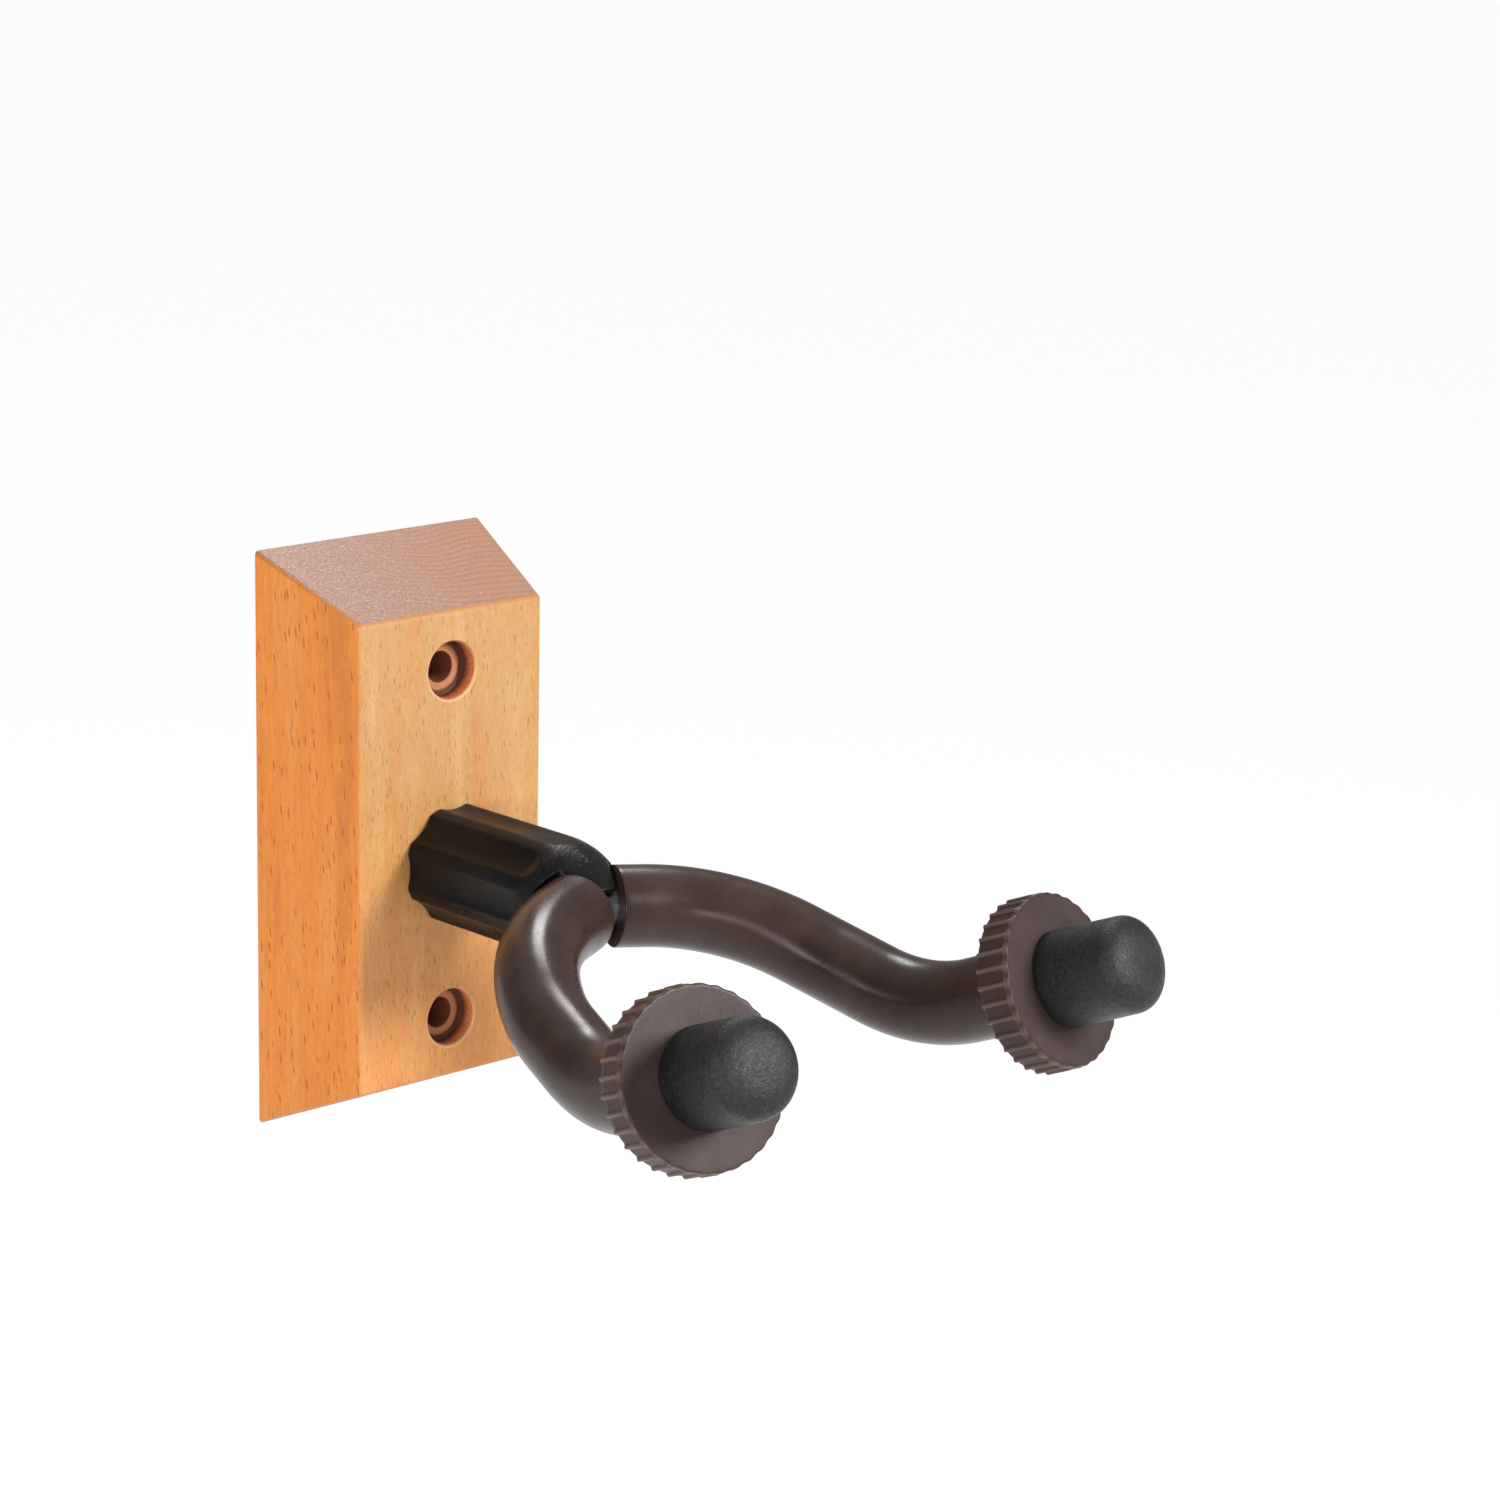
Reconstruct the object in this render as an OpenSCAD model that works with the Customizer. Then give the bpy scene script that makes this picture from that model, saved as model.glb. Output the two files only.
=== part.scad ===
// Wall hanger for a guitar: a beech block screwed to the wall, a fluted neck
// housing standing out of it, and a bent steel yoke with padded arms, a ribbed
// end disc and a rubber end cap on each arm. The yoke swivels about the neck,
// and each disc turns on its arm.
// Millimetres. +Z is up, +Y points into the wall, +X is the hanger's right arm
// as seen from the room turned to face the wall.
// Origin: middle of the block's back face, where it meets the wall.

/* [Wall block] */
// height of the block at its back face
block_h = 125; // [90:1:180]
// width of the block at its back face
block_w = 60; // [45:1:90]
// thickness of the block, wall to front face
block_t = 28; // [18:0.5:40]
// how far each long side leans in from back to front
side_lean = 5.8; // [0:0.1:12]
// how far the top and bottom bevels come in from back to front
end_lean = 12; // [0:0.5:30]
// round-over along the front edges
front_round = 1.5; // [0.5:0.1:4]

/* [Screw holes] */
// distance between the two screw holes
hole_pitch = 75.6; // [50:0.2:110]
// radius of each screw hole
hole_r = 3.3; // [2:0.1:5]
// radius of the pocket for the screw's head
pocket_r = 6.15; // [4:0.05:9]
// depth of the pocket for the screw's head
pocket_d = 4.2; // [3:0.1:16]

/* [Swivel] */
// height of the swivel axis, from the middle of the block
neck_z = -3.5; // [-20:0.5:20]
// radius of the swivel shaft
shaft_r = 4; // [3:0.25:6]
// running gap around the shaft, on the radius
shaft_gap = 0.05; // [0.02:0.01:0.1]
// outside radius of the bush pressed into the block
bush_r = 5.5; // [4.5:0.1:9]
// radius of the recess in the block's back, around the nut
recess_r = 12; // [9:0.5:16]
// depth of the recess in the block's back
recess_d = 13; // [9:0.5:18]
// radius of the front and rear thrust washers
washer_r = 10; // [7:0.5:12]
// lock nut, across its flats
nut_flats = 13; // [10:0.5:17]

/* [Neck housing] */
// outside radius of the neck housing
neck_r = 13.1; // [10:0.1:20]
// distance from the wall to where the rounded nose starts
nose_start = 60.5; // [45:0.5:90]
// distance from the wall to the nose's tip
nose_end = 78.5; // [60:0.5:110]
// profile radius of the rounded nose
nose_curve = 23.3; // [18:0.1:40]
// number of hollow flutes around the housing
flutes = 8; // [4:1:16]
// radius of each flute's hollow
flute_r = 9.9; // [5:0.1:20]
// depth of each flute below the round outside
flute_d = 1.1; // [0.4:0.1:2]
// how far a flute keeps its full depth past the start of the nose
flute_over = 2; // [-6:0.5:4]

/* [Yoke and arms] */
// radius of the bent yoke rod
rod_r = 4; // [3:0.25:6]
// outside radius of the padded sleeve
sleeve_r = 8.5; // [6:0.1:12]
// bend radius of the rod where it meets the shaft
hub_bend = 12; // [8:0.5:20]
// bend radius where an arm turns to run forward
shoulder_bend = 45; // [25:1:60]
// bend radius in the middle of an arm
middle_bend = 42; // [25:1:60]
// bend radius where an arm turns up to its end
tip_bend = 36; // [25:1:60]

/* [Arm ends] */
// outside radius of the end disc over its ribs
disc_r = 17.8; // [12:0.1:25]
// thickness of the end disc
disc_t = 7.8; // [4:0.1:12]
// number of ribs around the disc
ribs = 32; // [16:1:48]
// height of each rib
rib_h = 0.6; // [0.3:0.1:1.5]
// width of the plain lip at the front of the disc
lip_w = 1.6; // [0.5:0.1:3]
// how far the lip stands below the ribs' crests
lip_drop = 0.3; // [0.1:0.1:1]
// radius of the rubber end cap
cap_r = 9.9; // [7:0.1:14]
// length of the rubber end cap
cap_l = 20.5; // [12:0.5:35]
// round edge at the cap's end
cap_round = 4.5; // [1:0.1:8]
// gap on each side of the disc, so that it turns
disc_gap = 0.15; // [0.05:0.05:0.5]

/* [Hidden] */
$fn = 64;
bore_r = shaft_r + shaft_gap;
// corners of the right arm's centre line, from the hub to the disc's back
hub_v = [0, -71.7, neck_z];
shoulder_v = [27.2, -83.5, neck_z - 1.9];
middle_v = [36.5, -102.5, neck_z - 10.1];
tip_v = [42.5, -127.2, neck_z - 17.2];
disc_v = [46.7, -151.9, neck_z - 7.0];
tip_dir = unit(disc_v - tip_v);
end_v = disc_v + tip_dir * (disc_t + 15.5);
back_v = flip(shoulder_v);
corners = [hub_v, shoulder_v, middle_v, tip_v, end_v];
bends = [hub_bend, shoulder_bend, middle_bend, tip_bend];
flute_x = neck_r - flute_d + flute_r;

function flip(p) = [-p[0], p[1], p[2]];
function unit(v) = v / norm(v);
function turn(a, v, b) = acos(unit(v - a) * unit(b - v));
function setback(a, v, b, r) = r * tan(turn(a, v, b) / 2);
function prev(i) = i == 0 ? back_v : corners[i - 1];
// point where bend i ends and the next straight starts
function leaves(i) = corners[i]
    + unit(corners[i + 1] - corners[i]) * setback(prev(i), corners[i], corners[i + 1], bends[i]);
// point where the straight before bend i ends
function enters(i) = corners[i]
    + unit(corners[i - 1] - corners[i]) * setback(prev(i), corners[i], corners[i + 1], bends[i]);

// middle of the hub bend, where the shaft meets the rod
rod_back = hub_v + unit(unit(back_v - hub_v) + unit(shoulder_v - hub_v))
    * hub_bend * (1 / cos(turn(back_v, hub_v, shoulder_v) / 2) - 1);

// local +Z runs from the wall to the room along the swivel axis
module on_neck() { translate([0, 0, neck_z]) rotate([90, 0, 0]) children(); }
// local +Z runs along the direction d from the point p
module aim(p, d) {
    u = unit(d);
    translate(p) rotate([0, acos(u[2]), atan2(u[1], u[0])]) children();
}
module rod(p, q, r) { aim(p, q - p) cylinder(h = norm(q - p), r = r, $fn = 64); }
// bend between the straights a-v and v-b
module elbow(a, v, b, bend, r) {
    t = setback(a, v, b, bend);
    p = v + unit(a - v) * t;
    q = v + unit(b - v) * t;
    c = v + unit(unit(a - v) + unit(b - v)) * bend / cos(turn(a, v, b) / 2);
    n = unit(cross(p - c, q - c));
    az = atan2(n[1], n[0]);
    po = acos(n[2]);
    ex = [cos(az) * cos(po), sin(az) * cos(po), -sin(po)];
    ey = [-sin(az), cos(az), 0];
    s = unit(p - c);
    translate(c) rotate([0, po, az]) rotate([0, 0, atan2(s * ey, s * ex)])
        rotate_extrude(angle = turn(a, v, b), $fn = 96) translate([bend, 0]) circle(r = r, $fn = 48);
}
// straight a hair thinner than the bends it runs 0.5 into, so that they join cleanly
module link(p, q, r, lead, tail) {
    u = unit(q - p);
    rod(p - u * lead, q + u * tail, r - 0.02);
}
// right arm from before the end of the hub bend to the point stop on its last straight
module arm(r, lead, stop) {
    link(leaves(0), enters(1), r, lead, 0.5);
    elbow(corners[0], corners[1], corners[2], bends[1], r);
    link(leaves(1), enters(2), r, 0.5, 0.5);
    elbow(corners[1], corners[2], corners[3], bends[2], r);
    link(leaves(2), enters(3), r, 0.5, 0.5);
    elbow(corners[2], corners[3], corners[4], bends[3], r);
    link(leaves(3), stop, r, 0.5, 0);
}
module hub_elbow(r) { elbow(back_v, hub_v, shoulder_v, hub_bend, r); }

// tapered outline with its front corners rounded; back on the X axis, front at -t
module tapered(back, front, t, r) {
    s = unit([(back - front) / 2, t]);
    cx = front / 2 - r * (1 - s[0]) / s[1];
    tx = cx + r * s[1];
    ty = -t + r - r * s[0];
    polygon([[-back / 2, 0], [-tx, ty], [-cx, -t], [cx, -t], [tx, ty], [back / 2, 0]]);
    translate([cx, -t + r]) circle(r = r);
    translate([-cx, -t + r]) circle(r = r);
}

module wood_block() {
    color([0.86, 0.60, 0.34]) difference() {
        intersection() {
            translate([0, 0, -block_h / 2]) linear_extrude(block_h)
                tapered(block_w, block_w - 2 * side_lean, block_t, front_round);
            translate([-block_w / 2, 0, 0]) rotate([90, 0, 90]) linear_extrude(block_w)
                rotate(-90) tapered(block_h, block_h - 2 * end_lean, block_t, front_round);
        }
        for (s = [-1, 1]) translate([0, 0, s * hole_pitch / 2]) rotate([90, 0, 0]) {
            translate([0, 0, -1]) cylinder(h = block_t + 2, r = hole_r);
            translate([0, 0, block_t - pocket_d]) cylinder(h = pocket_d + 1, r = pocket_r);
            translate([0, 0, block_t - 0.35]) cylinder(h = 1, r1 = pocket_r, r2 = pocket_r + 1);
        }
        on_neck() {
            translate([0, 0, -1]) cylinder(h = recess_d + 1, r = recess_r);
            cylinder(h = block_t + 1, r = bush_r);
        }
    }
}

module shaft_bush() {
    color([0.93, 0.92, 0.88]) on_neck() difference() {
        translate([0, 0, recess_d]) cylinder(h = block_t - recess_d, r = bush_r);
        translate([0, 0, recess_d - 1]) cylinder(h = block_t - recess_d + 2, r = bore_r);
    }
}

// nylon washer let into the housing's back, rubbing on the block's face
module front_washer() {
    color([0.93, 0.92, 0.88]) on_neck() difference() {
        translate([0, 0, block_t + 0.05]) cylinder(h = 1, r = washer_r);
        translate([0, 0, block_t - 1]) cylinder(h = 3, r = bore_r);
    }
}

module rear_washer() {
    color([0.70, 0.71, 0.72]) on_neck() difference() {
        translate([0, 0, recess_d - 1.65]) cylinder(h = 1.6, r = washer_r);
        translate([0, 0, recess_d - 3]) cylinder(h = 4, r = bore_r);
    }
}

// dished spring washer, its rim on the rear washer and its inner edge on the nut
module spring_washer() {
    z = recess_d - 1.65;
    color([0.45, 0.46, 0.48]) on_neck() rotate_extrude()
        polygon([[bore_r + 0.1, z - 1.2], [8.2, z - 0.7], [8.2, z], [bore_r + 0.1, z - 0.5]]);
}

module lock_nut() {
    z = recess_d - 2.85;
    color([0.74, 0.75, 0.76]) on_neck() difference() {
        union() {
            intersection() {
                translate([0, 0, z - 6]) cylinder(h = 6, r = nut_flats / sqrt(3), $fn = 6);
                translate([0, 0, z - 6]) cylinder(h = 6, r1 = nut_flats / 2, r2 = nut_flats / 2 + 6);
            }
            translate([0, 0, z - 8]) cylinder(h = 2.5, r = nut_flats / 2 - 0.6);
        }
        translate([0, 0, z - 9]) cylinder(h = 10, r = shaft_r);
        translate([0, 0, z - 7.6]) cylinder(h = 1.8, r = shaft_r + 1.1);
    }
}

// nylon ring held in the nut's collar, gripping the thread
module nut_insert() {
    z = recess_d - 2.85;
    color([0.20, 0.36, 0.62]) on_neck() difference() {
        translate([0, 0, z - 7.6]) cylinder(h = 1.8, r = shaft_r + 1.1);
        translate([0, 0, z - 8]) cylinder(h = 3, r = shaft_r);
    }
}

// shaft from the nut to the rod, its front end cut to saddle the rod, where it is welded
module swivel_shaft() {
    color([0.66, 0.67, 0.69]) difference() {
        on_neck() {
            rotate_extrude() polygon([[0, 1.2], [shaft_r - 0.8, 1.2], [shaft_r, 2],
                                      [shaft_r, -rod_back[1] - 2.3], [0, -rod_back[1] - 2.3]]);
        }
        translate(rod_back - [9, 0, 0]) rotate([0, 90, 0]) cylinder(h = 18, r = rod_r);
    }
}

module yoke_rod() {
    color([0.60, 0.61, 0.63]) {
        hub_elbow(rod_r);
        arm(rod_r, 0.5, end_v);
        mirror([1, 0, 0]) arm(rod_r, 0.5, end_v);
    }
}

// bare outside shape of the neck housing
module neck_outside() {
    rotate_extrude() {
        translate([0, block_t + 0.35]) square([neck_r, nose_start - block_t - 0.35]);
        intersection() {
            translate([neck_r - nose_curve, nose_start]) circle(r = nose_curve, $fn = 128);
            translate([0, nose_start - 1]) square([neck_r, nose_end - nose_start + 1]);
        }
    }
}

module neck_housing() {
    color([0.09, 0.085, 0.08]) difference() {
        on_neck() difference() {
            neck_outside();
            for (i = [0 : flutes - 1]) rotate([0, 0, 90 + i * 360 / flutes]) translate([flute_x, 0, 0]) {
                translate([0, 0, block_t - 1])
                    cylinder(h = nose_start - block_t + 1 + flute_over, r = flute_r);
                translate([0, 0, nose_start + flute_over]) sphere(r = flute_r);
            }
            translate([0, 0, block_t - 1]) cylinder(h = -hub_v[1] - block_t + 1, r = bore_r);
            translate([0, 0, block_t - 1]) cylinder(h = 2.1, r = washer_r + 0.2);
        }
        // pockets that clear the sleeves' ends on both sides
        for (m = [0, 1]) mirror([m, 0, 0])
            rod(leaves(0) - unit(shoulder_v - hub_v) * 0.4, shoulder_v, sleeve_r + 0.5);
        // slot for the rod, open to the front with a flared mouth
        hub_elbow(rod_r + 0.1);
        translate([-10, -nose_end - 1, neck_z - rod_r - 0.1])
            cube([20, nose_end + 1 + hub_v[1] - 1, 2 * rod_r + 0.2]);
        translate([-10, 0, neck_z]) rotate([90, 0, 90]) linear_extrude(20)
            polygon([[-nose_end + 3.4, -rod_r], [-nose_end + 3.4, rod_r],
                     [-nose_end - 1, rod_r + 2.6], [-nose_end - 1, -rod_r - 2.6]]);
    }
}

module sleeve() {
    color([0.25, 0.19, 0.17]) difference() {
        arm(sleeve_r, 0, disc_v - tip_dir * disc_gap);
        arm(rod_r + 0.05, 1, disc_v + tip_dir * 2);
    }
}
module sleeve_right() { sleeve(); }
module sleeve_left() { mirror([1, 0, 0]) sleeve(); }

// disc with raised ribs that stop short of a plain lip at its front
module end_disc() {
    color([0.36, 0.28, 0.26]) aim(disc_v, tip_dir) difference() {
        union() {
            cylinder(h = disc_t, r = disc_r - rib_h);
            translate([0, 0, disc_t - lip_w]) cylinder(h = lip_w, r = disc_r - lip_drop);
            for (i = [0 : ribs - 1]) rotate([0, 0, i * 360 / ribs]) translate([disc_r - 0.55, 0, 0])
                cylinder(h = disc_t - lip_w + 0.3, r = 0.55, $fn = 16);
        }
        translate([0, 0, -1]) cylinder(h = disc_t + 2, r = rod_r + shaft_gap);
    }
}
module disc_right() { end_disc(); }
module disc_left() { mirror([1, 0, 0]) end_disc(); }

// push-on steel ring that keeps the disc on the rod
module retainer() {
    color([0.55, 0.56, 0.58]) aim(disc_v, tip_dir) difference() {
        translate([0, 0, disc_t + disc_gap]) cylinder(h = 0.8, r = 6.5);
        cylinder(h = disc_t + 3, r = rod_r);
    }
}
module retainer_right() { retainer(); }
module retainer_left() { mirror([1, 0, 0]) retainer(); }

// rubber cap pressed on the rod's end, hollowed at its mouth around the ring
module end_cap() {
    z = disc_t + 2 * disc_gap;
    color([0.10, 0.10, 0.105]) aim(disc_v, tip_dir) difference() {
        rotate_extrude() {
            polygon([[0, z], [cap_r, z], [cap_r, z + cap_l - cap_round],
                     [cap_r - cap_round, z + cap_l], [0, z + cap_l]]);
            translate([cap_r - cap_round, z + cap_l - cap_round]) circle(r = cap_round);
        }
        translate([0, 0, z - 1]) cylinder(h = disc_t + 16.5 - z, r = rod_r);
        translate([0, 0, z - 1]) cylinder(h = 1.8 + disc_gap, r = 6.7);
    }
}
module cap_right() { end_cap(); }
module cap_left() { mirror([1, 0, 0]) end_cap(); }

wood_block();
shaft_bush();
front_washer();
rear_washer();
spring_washer();
lock_nut();
nut_insert();
swivel_shaft();
yoke_rod();
neck_housing();
sleeve_left();
sleeve_right();
disc_left();
disc_right();
retainer_left();
retainer_right();
cap_left();
cap_right();
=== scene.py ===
"""Wall hanger for a guitar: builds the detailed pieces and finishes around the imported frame."""

import math

import bmesh
import bpy
import numpy as np
from bpy.props import FloatProperty, FloatVectorProperty, IntProperty, PointerProperty
from bpy.types import Operator, Panel, PropertyGroup
from mathutils import Matrix, Vector


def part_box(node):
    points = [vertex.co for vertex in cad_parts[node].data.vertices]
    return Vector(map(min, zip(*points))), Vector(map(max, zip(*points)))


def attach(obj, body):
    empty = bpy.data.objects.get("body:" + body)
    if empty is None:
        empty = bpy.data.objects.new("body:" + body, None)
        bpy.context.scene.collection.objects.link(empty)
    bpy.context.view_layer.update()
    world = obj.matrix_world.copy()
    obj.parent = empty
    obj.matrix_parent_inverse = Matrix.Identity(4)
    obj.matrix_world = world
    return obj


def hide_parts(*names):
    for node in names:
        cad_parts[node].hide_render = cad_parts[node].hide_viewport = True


bl_info = {
    "name": "Wall Guitar Hanger",
    "version": (1, 0, 0),
    "blender": (4, 5, 0),
    "location": "3D View > Sidebar > Hanger",
    "description": "Makes the pieces, finishes and studio of a wall guitar hanger",
    "category": "Object",
}

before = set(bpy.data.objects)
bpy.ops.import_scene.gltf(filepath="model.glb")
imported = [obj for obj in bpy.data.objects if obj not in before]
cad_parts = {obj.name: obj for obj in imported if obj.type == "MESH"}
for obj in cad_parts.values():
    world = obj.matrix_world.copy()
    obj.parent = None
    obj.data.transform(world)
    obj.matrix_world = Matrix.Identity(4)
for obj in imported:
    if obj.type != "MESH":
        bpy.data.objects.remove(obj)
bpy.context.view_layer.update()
MM = 0.001
NECK_LO, NECK_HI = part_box("neck_housing")
NECK_Z = (NECK_LO[2] + NECK_HI[2]) / 2


# ---------------------------------------------------------------- sizes and colours


def length(name, default, text):
    return FloatProperty(
        name=name, description=text, default=default * MM, min=0.0, unit="LENGTH", precision=5
    )


def colour(name, default, text):
    return FloatVectorProperty(
        name=name, description=text, default=default, size=3, min=0.0, max=1.0, subtype="COLOR"
    )


class HangerBlockSettings(PropertyGroup):
    edge_round: length("Edge round", 0.9, "Round-over along the block's front edges")
    back_round: length("Back edge round", 0.3, "Round-over along the block's back edges")
    hole_pitch: length("Hole pitch", 75.6, "Distance between the two screw holes")
    hole_radius: length("Hole radius", 3.3, "Radius of each screw hole")
    pocket_radius: length("Pocket radius", 6.15, "Radius of the pocket for a screw's head")
    pocket_depth: length("Pocket depth", 4.2, "Depth of the pocket for a screw's head")
    front_colour: colour("Front, top", (0.375, 0.216, 0.084), "Lacquered beech, upper front")
    low_colour: colour("Front, bottom", (0.49, 0.200, 0.054), "Lacquered beech, lower front")
    side_colour: colour("Side grain", (0.595, 0.193, 0.0235), "Lacquered beech, long sides")
    end_colour: colour("End grain", (0.330, 0.186, 0.137), "End grain on the top and bottom bevels")
    fleck_colour: colour("Flecks", (0.32, 0.064, 0.004), "Short dark rays in the beech")


class HangerNeckSettings(PropertyGroup):
    nose_start: length("Nose start", 60.5, "Distance from the wall to the start of the nose")
    nose_curve: length("Nose curve", 23.3, "Profile radius of the rounded nose")
    flute_count: IntProperty(
        name="Flutes", description="Hollow flutes around the housing", default=8, min=0, max=24
    )
    flute_radius: length("Flute radius", 9.9, "Radius of each flute's hollow")
    flute_depth: length("Flute depth", 1.1, "Depth of each flute")
    flute_over: length("Flute run", 2.0, "How far a flute keeps its depth past the nose's start")
    edge_soft: length("Edge softness", 0.22, "Rounding of the moulded edges")
    lip_soft: length("Lip softness", 0.7, "Rounding of the lips around the sleeves' ends")
    mesh_step: length("Mesh step", 0.32, "Spacing of the mesh on the housing")
    plastic_colour: colour("Plastic", (0.0050, 0.0046, 0.0044), "Black moulded plastic")


class HangerArmSettings(PropertyGroup):
    sleeve_radius: length("Sleeve radius", 8.5, "Outside radius of the hose on the arms")
    rod_radius: length("Rod radius", 4.0, "Radius of the steel rod in the arms")
    hub_bend: length("Hub bend", 12.0, "Bend radius at the hub")
    shoulder_bend: length("Shoulder bend", 45.0, "Bend radius at the shoulder")
    middle_bend: length("Middle bend", 42.0, "Bend radius in the middle of an arm")
    tip_bend: length("Tip bend", 36.0, "Bend radius near an arm's end")
    hose_colour: colour("Hose", (0.0275, 0.0140, 0.0108), "Brown hose")


class HangerEndSettings(PropertyGroup):
    disc_radius: length("Disc radius", 17.8, "Radius of the end disc over its ribs")
    disc_thickness: length("Disc thickness", 7.8, "Thickness of the end disc")
    rib_count: IntProperty(
        name="Ribs", description="Ribs around each end disc", default=32, min=0, max=96
    )
    rib_height: length("Rib height", 0.6, "Height of each rib")
    rib_width: length("Rib width", 0.9, "Width of each rib at its foot")
    lip_width: length("Lip width", 1.6, "Plain lip in front of the ribs")
    lip_drop: length("Lip drop", 0.3, "How far the lip stands below the ribs' crests")
    cap_radius: length("Cap radius", 9.9, "Radius of the end cap")
    cap_length: length("Cap length", 20.5, "Length of the end cap")
    cap_round: length("Cap edge", 4.5, "Round edge at the cap's end")
    turn_gap: length("Turning gap", 0.15, "Gap on each side of a disc")
    disc_colour: colour("Disc", (0.042, 0.0285, 0.0268), "Brown moulded disc")
    cap_colour: colour("Cap", (0.0048, 0.0048, 0.0051), "Black rubber cap")


class HangerSteelSettings(PropertyGroup):
    shaft_radius: length("Shaft radius", 4.0, "Radius of the swivel shaft")
    thread_pitch: length("Thread pitch", 1.25, "Pitch of the thread on the swivel shaft")
    thread_end: length("Thread end", 13.0, "Distance from the wall to the end of the thread")
    zinc_colour: colour("Zinc plate", (0.60, 0.61, 0.63), "Plated rod, shaft, nut and washer")
    spring_colour: colour("Spring steel", (0.30, 0.30, 0.31), "Spring washer and push-on rings")
    nylon_colour: colour("Nylon", (0.78, 0.76, 0.70), "Bush and front washer")
    insert_colour: colour("Insert", (0.05, 0.14, 0.42), "Ring in the lock nut")


class HangerStageSettings(PropertyGroup):
    floor_drop: length("Floor drop", 900.0, "Height of the hanger's middle above the floor")
    floor_colour: colour("Floor", (0.95, 0.95, 0.95), "Pale plain floor")
    sky_low: FloatProperty(
        name="Room light, low", description="Room light near the horizon", default=0.34, min=0.0
    )
    sky_high: FloatProperty(
        name="Room light, high", description="Room light added overhead", default=0.60, min=0.0
    )
    floor_glow: FloatProperty(
        name="Floor glow", description="Light from the back-lit floor", default=0.37, min=0.0
    )
    key_power: FloatProperty(
        name="Key light", description="Power of the front softbox", default=17.0, min=0.0
    )
    top_power: FloatProperty(
        name="Back light", description="Power of the softbox high behind", default=4.2, min=0.0
    )
    side_power: FloatProperty(
        name="Side light", description="Power of the long softbox on the left", default=10.5, min=0.0
    )
    lens: FloatProperty(
        name="Lens", description="Focal length in millimetres", default=104.1, min=10.0
    )
    heading: FloatProperty(
        name="Heading",
        description="How far left of straight ahead the camera stands",
        default=math.radians(43.39),
        subtype="ANGLE",
    )
    look_down: FloatProperty(
        name="Look down",
        description="How far the camera looks down",
        default=math.radians(14.13),
        subtype="ANGLE",
    )
    roll: FloatProperty(
        name="Roll", description="Camera roll", default=math.radians(1.195), subtype="ANGLE"
    )
    aim_right: length("Aim right", 81.9, "How far right of the block the camera aims")
    aim_up: length("Aim up", 14.7, "How far above the block's middle the camera aims")
    distance: length("Distance", 932.4, "Distance of the camera along its view")


# ---------------------------------------------------------------- mesh helpers


def unit(v):
    v = np.asarray(v, float)
    return v / np.linalg.norm(v)


def mesh_object(name, verts, faces, sharp=35.0, material=None):
    """A mesh object with outward normals, smooth but for edges turning more than sharp degrees."""
    mesh = bpy.data.meshes.new(name)
    mesh.from_pydata([tuple(v) for v in verts], [], faces)
    bm = bmesh.new()
    bm.from_mesh(mesh)
    bmesh.ops.recalc_face_normals(bm, faces=bm.faces)
    for f in bm.faces:
        f.smooth = True
    for e in bm.edges:
        if len(e.link_faces) == 2:
            e.smooth = e.calc_face_angle(0.0) < math.radians(sharp)
    bm.to_mesh(mesh)
    bm.free()
    obj = bpy.data.objects.new(name, mesh)
    bpy.context.scene.collection.objects.link(obj)
    if material:
        mesh.materials.append(material)
    return obj


def shell(rows, closed=False):
    """Vertices and faces of rings of points. Open ends are closed with a fan, closed joins last to first."""
    rows = np.asarray(rows, float)
    m, n, _ = rows.shape
    verts = rows.reshape(-1, 3).tolist()
    faces = []
    for i in range(m if closed else m - 1):
        a, b = i * n, ((i + 1) % m) * n
        for j in range(n):
            k = (j + 1) % n
            faces.append((a + j, a + k, b + k, b + j))
    if not closed:
        for i, flip in ((0, True), (m - 1, False)):
            verts.append(rows[i].mean(0).tolist())
            c = len(verts) - 1
            for j in range(n):
                k = (j + 1) % n
                face = (i * n + j, i * n + k, c)
                faces.append(face[::-1] if flip else face)
    return verts, faces


def rounded(points, steps=6):
    """Outline (radius, height, fillet) points with each corner turned into an arc of its fillet."""
    out = []
    for i, (r, z, fillet) in enumerate(points):
        if i in (0, len(points) - 1) or fillet <= 0:
            out.append((r, z))
            continue
        p = np.array((r, z), float)
        a = unit(np.array(points[i - 1][:2]) - p)
        b = unit(np.array(points[i + 1][:2]) - p)
        half = math.acos(max(-1.0, min(1.0, float(a @ b)))) / 2
        if half > math.pi / 2 - 1e-4:
            out.append((r, z))
            continue
        back = fillet / math.tan(half)
        centre = p + unit(a + b) * fillet / math.sin(half)
        s, e = p + a * back - centre, p + b * back - centre
        sweep = math.pi - 2 * half
        for k in range(steps + 1):
            t = k / steps
            q = (math.sin((1 - t) * sweep) * s + math.sin(t * sweep) * e) / math.sin(sweep)
            out.append(tuple(centre + q))
    return out


def turned(outline, count=96):
    """Rings for an outline of (radius, height) turned about local +Z."""
    a = np.arange(count) * 2 * math.pi / count
    return np.array(
        [[(r * math.cos(t), r * math.sin(t), z) for t in a] for r, z in outline], float
    )


def aim(point, direction):
    """Matrix whose local +Z runs along direction from point, turned like the frame's own parts."""
    d = unit(direction)
    return (
        Matrix.Translation(Vector(point))
        @ Matrix.Rotation(math.atan2(d[1], d[0]), 4, "Z")
        @ Matrix.Rotation(math.acos(d[2]), 4, "Y")
    )


def placed(points, matrix):
    m = np.array(matrix, float)
    points = np.asarray(points, float)
    return points @ m[:3, :3].T + m[:3, 3]


def mirrored(points):
    return np.asarray(points, float) * np.array((-1.0, 1.0, 1.0))


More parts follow.
